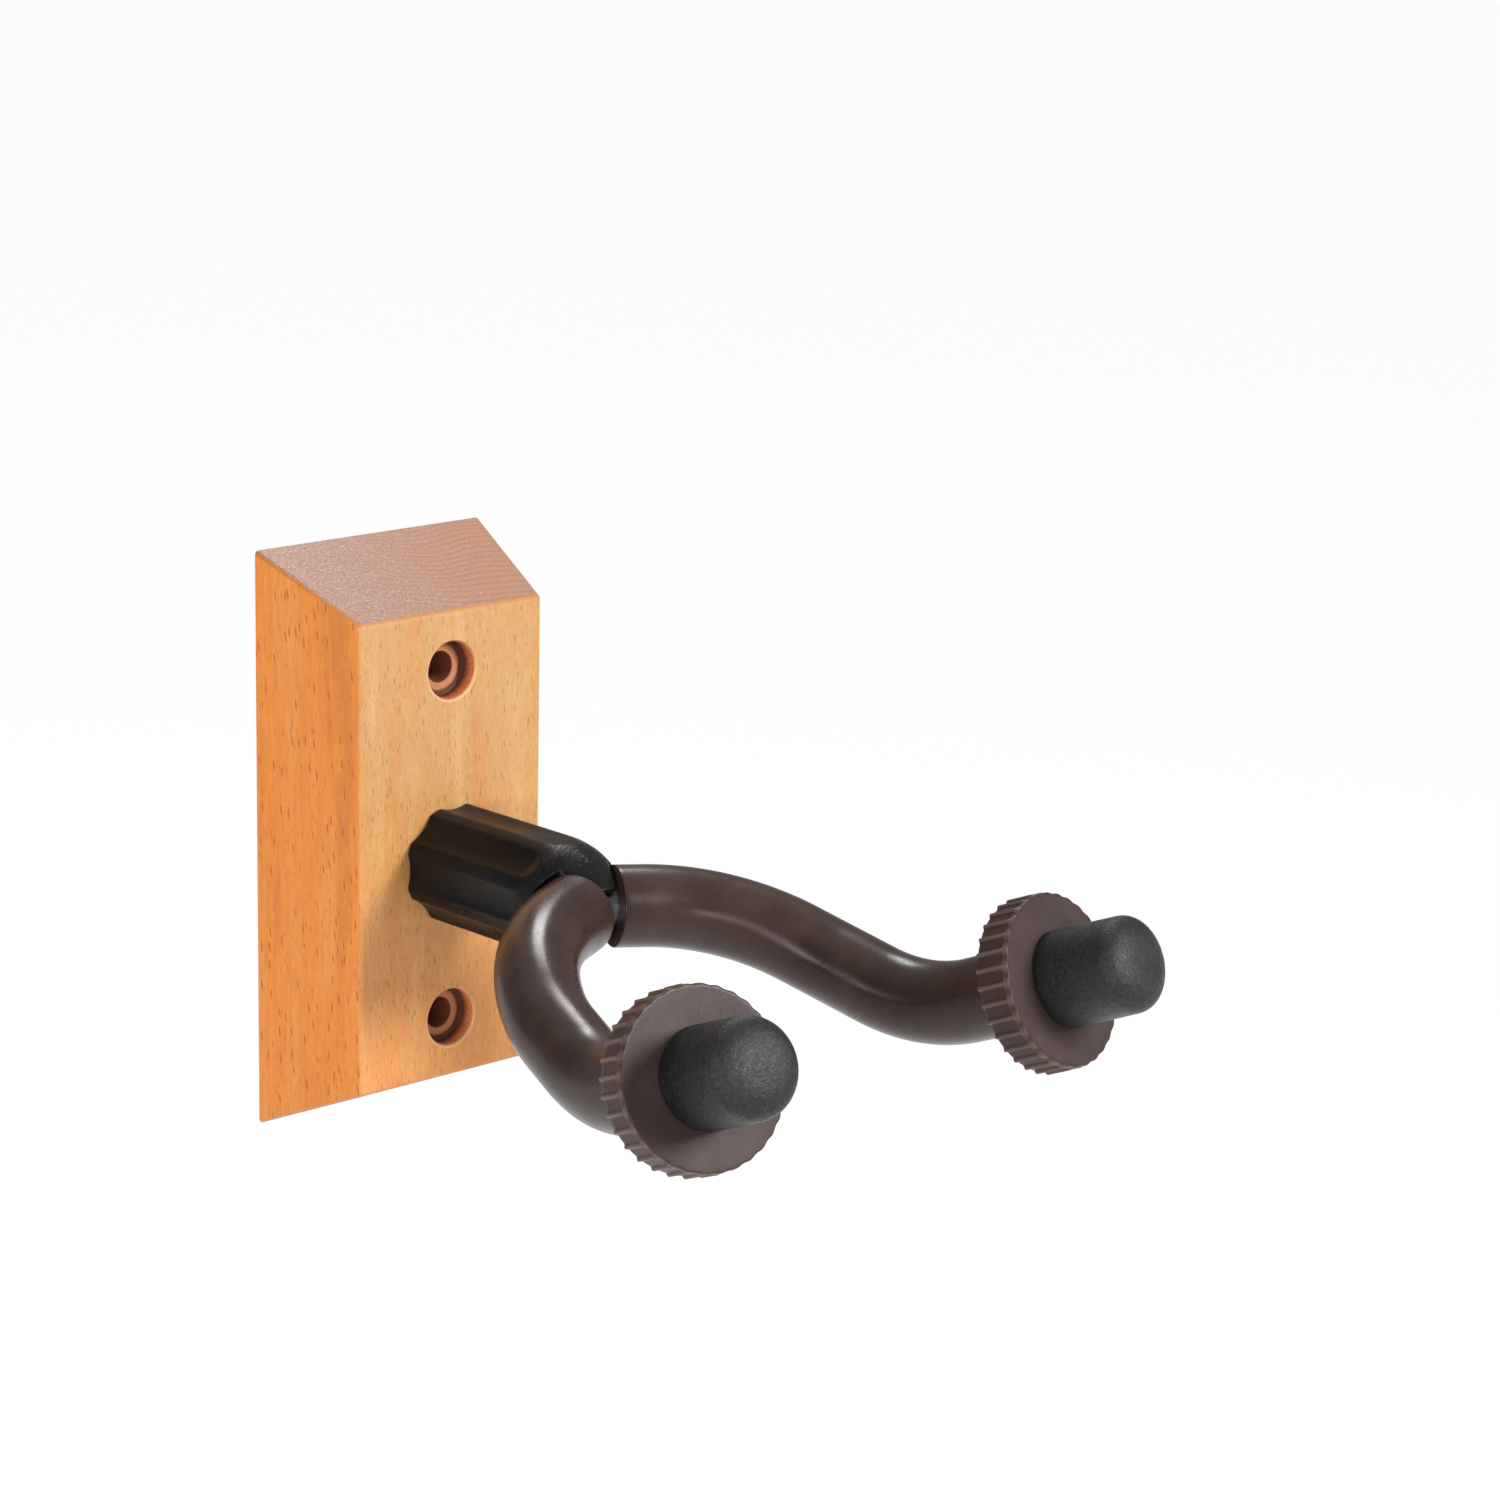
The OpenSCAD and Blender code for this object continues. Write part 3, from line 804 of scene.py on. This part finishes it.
def plated(name, c, rough=0.26):
    """Plated or plain steel with cloudy brightness, drawing marks and darker low spots."""
    m = Finish(name, c, metallic=1.0)
    cloud = m.noise(m.place, 0.30, 4.0, 0.6)
    draw = m.noise(m.scaled(m.place, (2.4, 0.25, 2.4)), 1.0, 3.0, 0.6)
    tone = m.mix(m.span(cloud, 0.32, 0.70), tuple(v * 0.72 for v in c), c)
    tone = m.mix(m.span(draw, 0.45, 0.70, 0.0, 0.18), tone, tuple(v * 0.5 for v in c))
    gloss = m.span(draw, 0.3, 0.7, rough, rough + 0.14)
    m.set(base_color=tone, roughness=gloss, normal=m.bump(draw, 0.000015))
    return m.material


def nylon(name, c):
    """Slightly waxy nylon with a turned finish."""
    m = Finish(name, c, subsurface_weight=0.08, subsurface_scale=0.001, specular_ior_level=0.45)
    cloud = m.noise(m.place, 0.35, 3.0, 0.6)
    tool = m.noise(m.scaled(m.place, (0.8, 6.0, 0.8)), 1.0, 2.0, 0.5)
    tone = m.mix(m.span(cloud, 0.32, 0.70), tuple(v * 0.88 for v in c), c)
    m.set(base_color=tone, roughness=m.span(tool, 0.3, 0.7, 0.36, 0.50),
          normal=m.bump(tool, 0.00002))
    return m.material


def paint_node(name, material):
    """A frame node keeps its own shape and takes this finish."""
    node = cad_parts[name]
    node.data.materials.clear()
    node.data.materials.append(material)
    for polygon in node.data.polygons:
        polygon.material_index = 0


# ---------------------------------------------------------------- operators


class HANGER_OT_stage(Operator):
    """Camera, pale floor, room light and softboxes"""

    bl_idname = "hanger.stage"
    bl_label = "Stage"

    def execute(self, context):
        s = context.scene.hanger_stage
        a, e, roll = s.heading, s.look_down, s.roll
        ahead = np.array(
            (math.sin(a) * math.cos(e), math.cos(a) * math.cos(e), -math.sin(e))
        )
        right = np.array((math.cos(a), -math.sin(a), 0.0))
        up = np.cross(right, ahead)
        right, up = (
            math.cos(roll) * right + math.sin(roll) * up,
            math.cos(roll) * up - math.sin(roll) * right,
        )
        eye = right * s.aim_right + up * s.aim_up - ahead * s.distance
        data = bpy.data.cameras.new("camera")
        data.lens, data.sensor_width = s.lens, 36.0
        data.clip_start, data.clip_end = 0.01, 100.0
        data.dof.use_dof = False
        camera = bpy.data.objects.new("camera", data)
        context.scene.collection.objects.link(camera)
        basis = Matrix((right, up, -ahead)).transposed().to_4x4()
        camera.matrix_world = Matrix.Translation(Vector(eye)) @ basis
        context.scene.camera = camera

        floor_finish = Finish("pale_floor", tuple(s.floor_colour), roughness=0.9)
        floor_finish.set(specular_ior_level=0.1, emission_color=(1.0, 1.0, 1.0),
                         emission_strength=s.floor_glow)
        half, drop = 30.0, -s.floor_drop
        corners = [(-half, -half, drop), (half, -half, drop), (half, half, drop), (-half, half, drop)]
        floor = mesh_object("floor", corners, [(0, 1, 2, 3)], material=floor_finish.material)

        world = bpy.data.worlds.new("studio")
        world.use_nodes = True
        tree = world.node_tree
        toward = tree.nodes.new("ShaderNodeTexCoord")
        split = tree.nodes.new("ShaderNodeSeparateXYZ")
        ramp = tree.nodes.new("ShaderNodeMapRange")
        ramp.interpolation_type = "SMOOTHSTEP"
        tree.links.new(toward.outputs["Generated"], split.inputs[0])
        tree.links.new(split.outputs[2], ramp.inputs[0])
        ramp.inputs[1].default_value, ramp.inputs[2].default_value = 0.45, 0.95
        ramp.inputs[3].default_value = s.sky_low
        ramp.inputs[4].default_value = s.sky_low + s.sky_high
        tree.links.new(ramp.outputs[0], tree.nodes["Background"].inputs[1])
        tree.nodes["Background"].inputs[0].default_value = (1.0, 1.0, 1.0, 1.0)
        context.scene.world = world
        context.scene.view_settings.view_transform = "Standard"
        context.scene.view_settings.look = "None"

        target = Vector((0.0, -0.08, 0.0))
        for name, toward, away, width, tall, power in (
            ("key_softbox", (0.33, -0.84, 0.43), 1.1, 0.30, 0.30, s.key_power),
            ("back_softbox", (0.45, 0.50, 0.74), 1.1, 0.27, 0.25, s.top_power),
            ("side_softbox", (-0.88, -0.46, 0.15), 1.0, 1.80, 0.20, s.side_power),
        ):
            light = bpy.data.lights.new(name, "AREA")
            light.shape, light.size, light.size_y = "RECTANGLE", width, tall
            light.energy = power
            lamp = bpy.data.objects.new(name, light)
            lamp.location = target + Vector(toward).normalized() * away
            lamp.rotation_mode = "QUATERNION"
            lamp.rotation_quaternion = (-Vector(toward)).to_track_quat("-Z", "Y")
            context.scene.collection.objects.link(lamp)
        return {"FINISHED"}


class HANGER_OT_block(Operator):
    """Beech wall block with eased edges, counterbored screw holes and the nut's recess"""

    bl_idname = "hanger.block"
    bl_label = "Wall block"

    def execute(self, context):
        s = context.scene.hanger_block
        lo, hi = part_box("wood_block")
        front_y = lo[1]
        in_x, in_z = 5.8 * MM, 12.0 * MM
        back = [(x, 0.0, z) for x, z in
                ((lo[0], lo[2]), (hi[0], lo[2]), (hi[0], hi[2]), (lo[0], hi[2]))]
        front = [(x - math.copysign(in_x, x), front_y, z - math.copysign(in_z, z))
                 for x, _, z in back]
        bm = bmesh.new()
        b = [bm.verts.new(v) for v in back]
        f = [bm.verts.new(v) for v in front]
        bm.faces.new(b)
        bm.faces.new(f[::-1])
        for i in range(4):
            j = (i + 1) % 4
            bm.faces.new((b[j], b[i], f[i], f[j]))
        bmesh.ops.recalc_face_normals(bm, faces=bm.faces)
        backs = [e for e in bm.edges if all(abs(v.co.y) < 1e-6 for v in e.verts)]
        rest = [e for e in bm.edges if e not in backs]
        bmesh.ops.bevel(
            bm, geom=rest, offset=s.edge_round, segments=6, profile=0.5, affect="EDGES",
            clamp_overlap=True,
        )
        backs = [e for e in bm.edges if all(abs(v.co.y) < 1e-6 for v in e.verts)]
        bmesh.ops.bevel(
            bm, geom=backs, offset=s.back_round, segments=2, profile=0.5, affect="EDGES",
            clamp_overlap=True,
        )
        mesh = bpy.data.meshes.new("block")
        bm.to_mesh(mesh)
        bm.free()
        block = bpy.data.objects.new("block", mesh)
        context.scene.collection.objects.link(block)

        t = -front_y
        for z in (s.hole_pitch / 2, -s.hole_pitch / 2):
            ease = 0.00035
            r, h = s.pocket_radius, s.hole_radius
            outline = rounded([
                (h, -0.002, 0), (h, t - s.pocket_depth, 0.0003),
                (r, t - s.pocket_depth, 0.0003), (r, t - ease, 0.0003),
                (r + ease + 0.002, t + 0.002, 0),
            ])
            rows = turned(outline, 96)
            rows = np.stack((rows[..., 0], -rows[..., 2], rows[..., 1] + z), -1)
            cut(block, mesh_object("drill", *shell(rows)))
        wide = 12.0 * MM
        outline = rounded([
            (wide + 0.0024, -0.002, 0), (wide, 0.0003, 0.0004),
            (wide, 13.0 * MM, 0.0004), (5.5 * MM, 13.0 * MM, 0.0002), (5.5 * MM, t + 0.003, 0),
        ])
        cut(block, mesh_object("drill", *shell(on_neck(turned(outline, 96)))))
        settle(block, 30.0, flat_above=1.0e-5)
        block.data.materials.clear()
        block.data.materials.append(beech(s))
        piece(block, "wall_block", "beech", "wood_block")
        return {"FINISHED"}


class HANGER_OT_neck(Operator):
    """Fluted neck housing with a rounded nose, cleared for the rod and the sleeves"""

    bl_idname = "hanger.neck"
    bl_label = "Neck housing"

    def execute(self, context):
        s, arms = context.scene.hanger_neck, context.scene.hanger_arms
        radius = (NECK_HI[0] - NECK_LO[0]) / 2
        back, tip = -NECK_HI[1], -NECK_LO[1]
        start = s.nose_start
        route = arm_route(corner(DISC))
        mouth = route[0]
        run = unit(corner(SHOULDER) - corner(HUB))
        hub = bend_points(corner(SHOULDER) * np.array((-1, 1, 1)), corner(HUB), corner(SHOULDER),
                          arms.hub_bend, 0.0005)
        rod_mid = hub[len(hub) // 2]
        rod_y, rod_z = -rod_mid[1], rod_mid[2]
        flute_at = radius - s.flute_depth + s.flute_radius
        k = s.edge_soft

        def field(p):
            x, y, z = p[..., 0], -p[..., 1], p[..., 2] - NECK_Z
            r = np.sqrt(x * x + z * z)
            nose = np.sqrt((r - radius + s.nose_curve) ** 2 + np.maximum(y - start, 0.0) ** 2)
            d = np.where(y > start, nose - s.nose_curve, r - radius)
            d = smooth_max(d, back - y, k * 0.6)
            d = smooth_max(d, y - tip, k)
            for i in range(s.flute_count):
                a = math.pi / 2 + i * 2 * math.pi / s.flute_count
                along = np.maximum(y - (start + s.flute_over), 0.0)
                off = np.sqrt(
                    (x - flute_at * math.cos(a)) ** 2 + (z - flute_at * math.sin(a)) ** 2 + along**2
                )
                d = smooth_max(d, s.flute_radius - off, k)
            for side in (1.0, -1.0):
                way = run * np.array((side, 1.0, 1.0))
                q = p - (mouth - run * 0.0004) * np.array((side, 1.0, 1.0))
                a = q @ way
                off = np.sqrt(np.maximum((q * q).sum(-1) - a * a, 0.0))
                pocket = smooth_max(off - arms.sleeve_radius - 0.0005, -a, 0.0003)
                d = smooth_max(d, -pocket, s.lip_soft)
            zr, yr = p[..., 2] - rod_z, y - rod_y
            round_back = np.sqrt(zr * zr + yr * yr) - arms.rod_radius - 0.0001
            straight = np.maximum(np.abs(zr) - arms.rod_radius - 0.0001, -yr)
            slot = np.minimum(round_back, straight)
            d = smooth_max(d, -slot, 0.0010)
            d = np.maximum(d, 0.00405 - r)
            recess = np.maximum(r - 0.0102, y - back - 0.0008)
            return np.maximum(d, -recess)

        pad = s.mesh_step * 2.3
        lo = [NECK_LO[0] - pad, NECK_LO[1] - pad, NECK_LO[2] - pad]
        hi = [NECK_HI[0] + pad, NECK_HI[1] + pad, NECK_HI[2] + pad]
        verts, faces = field_mesh(field, lo, hi, s.mesh_step)
        housing = mesh_object("neck_housing_moulding", verts, faces, 55.0, moulded_black(s, mouth, run))
        piece(housing, "yoke", "black_moulding", "neck_housing")
        return {"FINISHED"}


class HANGER_OT_sleeves(Operator):
    """Brown hose on both arms, cut square at the hub and ending against the discs"""

    bl_idname = "hanger.sleeves"
    bl_label = "Arm sleeves"

    def execute(self, context):
        s = context.scene.hanger_arms
        base, way = arm_axis()
        route = arm_route(base - way * context.scene.hanger_ends.turn_gap)
        t, side, up = frames_along(route)
        n, r, bore, ease = len(route), s.sleeve_radius, s.rod_radius + 0.05 * MM, 0.00028
        outline = [(bore, 12, 0.0), (bore, 0, 0.0003), (bore + 0.0002, 0, 0.0)]
        outline += [(bore + 0.0015, 0, 0.0), (r - ease - 0.001, 0, 0.0), (r - ease, 0, 0.0)]
        outline += [
            (r - ease + ease * math.sin(a), 0, ease - ease * math.cos(a))
            for a in np.linspace(0.2, math.pi / 2, 6)
        ]
        outline += [(r, i, 0.0) for i in range(2, n - 1)]
        outline += [
            (r - ease + ease * math.cos(a), n - 1, -ease + ease * math.sin(a))
            for a in np.linspace(0.1, math.pi / 2, 5)
        ]
        outline += [(bore + 0.0015, n - 1, 0.0), (bore, n - 1, 0.0), (bore, n - 12, 0.0)]
        outline += [(bore, i, 0.0) for i in range(n - 16, 16, -4)]
        rows = tube_rows(route, t, side, up, outline, 72)
        hose = brown_hose(s)
        ends = brown_hose(s, "cut_hose", 1.5, 0.5)
        for name, flip, node in (
            ("sleeve_right_hose", False, "sleeve_right"),
            ("sleeve_left_hose", True, "sleeve_left"),
        ):
            verts, faces = shell(mirrored(rows) if flip else rows, closed=True)
            sleeve = mesh_object(name, verts, faces, 40.0, hose)
            sleeve.data.materials.append(ends)
            per_row = rows.shape[1]
            cut_rows = {1, 2, 3, 4}
            for i, polygon in enumerate(sleeve.data.polygons):
                polygon.material_index = 1 if i // per_row in cut_rows else 0
            piece(sleeve, "yoke", "brown_hose", node)
        return {"FINISHED"}


class HANGER_OT_discs(Operator):
    """Ribbed end discs that turn on the arms"""

    bl_idname = "hanger.discs"
    bl_label = "End discs"

    def execute(self, context):
        s = context.scene.hanger_ends
        base, way = arm_axis()
        place = aim(base, way)
        count = max(1, s.rib_count) * 18
        a = np.arange(count) * 2 * math.pi / count
        t, big, low = s.disc_thickness, s.disc_radius, s.disc_radius - s.rib_height
        # each rib is a narrow rounded ridge and the panels between them are slightly hollow
        pitch = 2 * math.pi / max(1, s.rib_count)
        off = np.abs((a + pitch / 2) % pitch - pitch / 2) * big
        crown = np.sqrt(np.clip(1.0 - (off / (s.rib_width / 2)) ** 2, 0.0, 1.0))
        foot = np.clip(1.0 - (off - s.rib_width / 2) / 0.0005, 0.0, 1.0) ** 2 * 0.25
        rim = low + (big - low) * np.maximum(crown, foot)
        lip = big - s.lip_drop + 0.00012 * np.cos(a * s.rib_count)
        levels = [(0.0, -0.00035, 1.0), (0.00012, -0.00012, 1.0), (0.00035, 0.0, 1.0)]
        stop = t - s.lip_width
        levels += [(z, 0.0, 1.0) for z in np.linspace(0.0012, stop - 0.0005, 7)]
        rows = [(0.00405, t - 0.0003), (0.00405, 0.0003), (0.0044, 0.0), (0.009, 0.0), (0.013, 0.0),
                (0.0155, 0.0), (low - 0.0008, 0.0)]
        rings = [np.stack((r * np.cos(a), r * np.sin(a), np.full(count, z)), -1) for r, z in rows]
        for z, inset, share in levels:
            r = rim + inset
            rings.append(np.stack((r * np.cos(a), r * np.sin(a), np.full(count, z)), -1))
        # the panels sweep out to the lip, and the ribs die into it
        for share in (0.0, 0.2, 0.45, 0.7, 0.9, 1.0):
            z = stop - 0.0003 + 0.0006 * share
            low_part = low + (lip - low) * (1 - math.sqrt(1 - share**2))
            high_part = lip + (rim - lip) * math.sqrt(max(0.0, 1 - share**2))
            r = np.where(rim > lip, np.maximum(high_part, lip), np.maximum(rim, low_part))
            rings.append(np.stack((r * np.cos(a), r * np.sin(a), np.full(count, z)), -1))
        for b in np.linspace(0.25, 1.0, 5) * math.pi / 2:
            r, z = lip - 0.0004 + 0.0004 * math.cos(b), t - 0.0004 + 0.0004 * math.sin(b)
            rings.append(np.stack((r * np.cos(a), r * np.sin(a), np.full(count, z)), -1))
        for r, z in ((0.0158, t), (0.014, t), (0.0115, t), (0.009, t), (0.0045, t)):
            rings.append(np.stack((r * np.cos(a), r * np.sin(a), np.full(count, z)), -1))
        rows = placed(np.array(rings), place)
        finish = brown_moulding(s)
        for name, flip, node in (
            ("disc_right_moulding", False, "disc_right"),
            ("disc_left_moulding", True, "disc_left"),
        ):
            verts, faces = shell(mirrored(rows) if flip else rows, closed=True)
            piece(mesh_object(name, verts, faces, 50.0, finish), node, "brown_rubber", node)
        return {"FINISHED"}


class HANGER_OT_caps(Operator):
    """Rubber end caps on the rod's ends"""

    bl_idname = "hanger.caps"
    bl_label = "End caps"

    def execute(self, context):
        s = context.scene.hanger_ends
        base, way = arm_axis()
        z = s.disc_thickness + 2 * s.turn_gap
        r, end = s.cap_radius, s.disc_thickness + 2 * s.turn_gap + s.cap_length
        outline = rounded([
            (0.0012, s.disc_thickness + 0.0165, 0), (0.004, s.disc_thickness + 0.0165, 0.0005),
            (0.004, z + 0.0018, 0), (0.0067, z + 0.0018, 0.0003), (0.0067, z, 0.0003),
            (r, z, 0.0006), (r - 0.00015, end - s.cap_round - 0.0007, 0),
        ], 10)
        # the end is a soft dome rather than a flat face
        for k in range(1, 25):
            u = k / 25
            outline.append(((r - 0.00015) * (1 - u**2.5) ** (1 / 2.5),
                            end - (s.cap_round + 0.0007) * (1 - u)))
        outline.append((0.0006, end))
        dense = [outline[0]]
        for p in outline[1:]:
            q = dense[-1]
            steps = max(1, int(math.hypot(p[0] - q[0], p[1] - q[1]) / 0.0009))
            dense += [(q[0] + (p[0] - q[0]) * k / steps, q[1] + (p[1] - q[1]) * k / steps)
                      for k in range(1, steps + 1)]
        rows = placed(turned(dense, 96), aim(base, way))
        finish = black_rubber(s)
        for name, flip, node in (
            ("cap_right_rubber", False, "cap_right"),
            ("cap_left_rubber", True, "cap_left"),
        ):
            verts, faces = shell(mirrored(rows) if flip else rows)
            piece(mesh_object(name, verts, faces, 50.0, finish), "yoke", "black_rubber", node)
        return {"FINISHED"}


class HANGER_OT_steel(Operator):
    """Yoke rod, threaded swivel shaft, lock nut, washers, bush and push-on rings"""

    bl_idname = "hanger.steel"
    bl_label = "Rod and swivel"

    def execute(self, context):
        s = context.scene.hanger_steel
        zinc = plated("zinc_plate", tuple(s.zinc_colour))
        spring = plated("spring_steel", tuple(s.spring_colour), 0.34)
        white = nylon("white_nylon", tuple(s.nylon_colour))
        blue = nylon("blue_nylon", tuple(s.insert_colour))
        for name in ("yoke_rod", "lock_nut", "rear_washer"):
            paint_node(name, zinc)
        for name in ("spring_washer", "retainer_left", "retainer_right"):
            paint_node(name, spring)
        for name in ("shaft_bush", "front_washer"):
            paint_node(name, white)
        paint_node("nut_insert", blue)

        lo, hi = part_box("swivel_shaft")
        first, last = -hi[1], -lo[1]
        r, pitch = s.shaft_radius, s.thread_pitch
        count = 48
        a = np.arange(count) * 2 * math.pi / count
        rings = []
        for y in np.arange(first, s.thread_end, pitch / 12):
            phase = (y / pitch - a / (2 * math.pi)) % 1.0
            groove = np.clip(1.0 - np.abs(phase - 0.5) / 0.42, 0.0, 1.0) * 0.54 * pitch
            fade = min(1.0, (s.thread_end - y) / pitch)
            edge = max(0.0, 0.0008 - (y - first))
            depth = np.maximum(groove * fade, edge)
            ring = r - depth
            rings.append(np.stack((ring * np.cos(a), ring * np.sin(a), np.full(count, y)), -1))
        for y in (s.thread_end, s.thread_end + 0.01, last - 0.004):
            rings.append(np.stack((r * np.cos(a), r * np.sin(a), np.full(count, y)), -1))
        verts, faces = shell(on_neck(np.array(rings)))
        shaft = mesh_object("swivel_shaft_threaded", verts, faces, 60.0, zinc)
        piece(shaft, "yoke", "zinc_steel", "swivel_shaft")
        return {"FINISHED"}


class HANGER_PT_panel(Panel):
    """Lists the hanger's pieces"""

    bl_idname = "HANGER_PT_panel"
    bl_label = "Guitar hanger"
    bl_space_type = "VIEW_3D"
    bl_region_type = "UI"
    bl_category = "Hanger"

    def draw(self, context):
        for operator, group in STEPS:
            box = self.layout.box()
            box.operator(operator)
            settings = getattr(context.scene, group)
            for name in settings.__annotations__:
                box.prop(settings, name)


STEPS = (
    ("hanger.stage", "hanger_stage"),
    ("hanger.block", "hanger_block"),
    ("hanger.neck", "hanger_neck"),
    ("hanger.sleeves", "hanger_arms"),
    ("hanger.discs", "hanger_ends"),
    ("hanger.caps", "hanger_ends"),
    ("hanger.steel", "hanger_steel"),
)
SETTINGS = {
    "hanger_block": HangerBlockSettings,
    "hanger_neck": HangerNeckSettings,
    "hanger_arms": HangerArmSettings,
    "hanger_ends": HangerEndSettings,
    "hanger_steel": HangerSteelSettings,
    "hanger_stage": HangerStageSettings,
}
CLASSES = (
    *SETTINGS.values(),
    HANGER_OT_stage,
    HANGER_OT_block,
    HANGER_OT_neck,
    HANGER_OT_sleeves,
    HANGER_OT_discs,
    HANGER_OT_caps,
    HANGER_OT_steel,
    HANGER_PT_panel,
)


def register():
    for cls in CLASSES:
        bpy.utils.register_class(cls)
    for name, cls in SETTINGS.items():
        setattr(bpy.types.Scene, name, PointerProperty(type=cls))


def unregister():
    for name in SETTINGS:
        delattr(bpy.types.Scene, name)
    for cls in reversed(CLASSES):
        bpy.utils.unregister_class(cls)


def main():
    register()
    for operator, _ in STEPS:
        group, name = operator.split(".")
        getattr(getattr(bpy.ops, group), name)()


if __name__ == "__main__":
    main()
